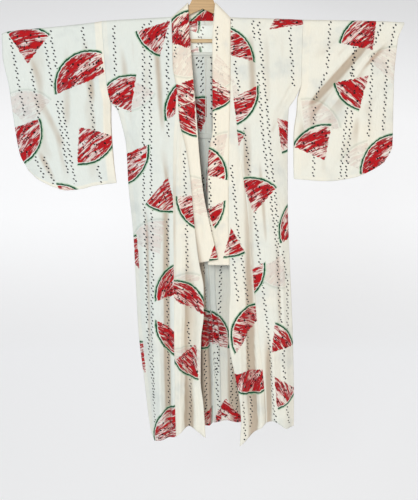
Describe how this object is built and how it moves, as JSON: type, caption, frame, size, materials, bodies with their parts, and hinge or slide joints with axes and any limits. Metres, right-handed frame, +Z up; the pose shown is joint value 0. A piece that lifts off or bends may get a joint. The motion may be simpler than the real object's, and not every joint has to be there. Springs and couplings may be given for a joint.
{
  "type": "cotton yukata robe on a wooden hanger",
  "caption": "Unlined cotton yukata with open fronts, long collar band and hanging sleeves, printed with melon slices and dots, hung on a notched wooden hanger.",
  "frame": {"origin": "seat inside the top of the hanger's hook, where it hangs on a rod or peg", "axes": "+Z up, -Y the garment's open front, -X the wearer's right, +X the wearer's left"},
  "size_m": [1.2824, 0.0987, 1.5639],
  "materials": {
    "cotton_print": "matte plain-weave cotton, printed",
    "hanger_wood": "satin varnish",
    "bar_wood": "plain satin",
    "hook_wire": "polished"
  },
  "bodies": {
    "root": {"body_right": "cotton_print", "body_left": "cotton_print", "okumi_right": "cotton_print", "okumi_left": "cotton_print", "sleeve_right": "cotton_print", "sleeve_left": "cotton_print", "collar": "cotton_print", "shoulder_lining": "cotton_print", "hanger_body": "hanger_wood", "hanger_bar": "bar_wood", "hanger_hook": "hook_wire"}
  },
  "joints": []
}
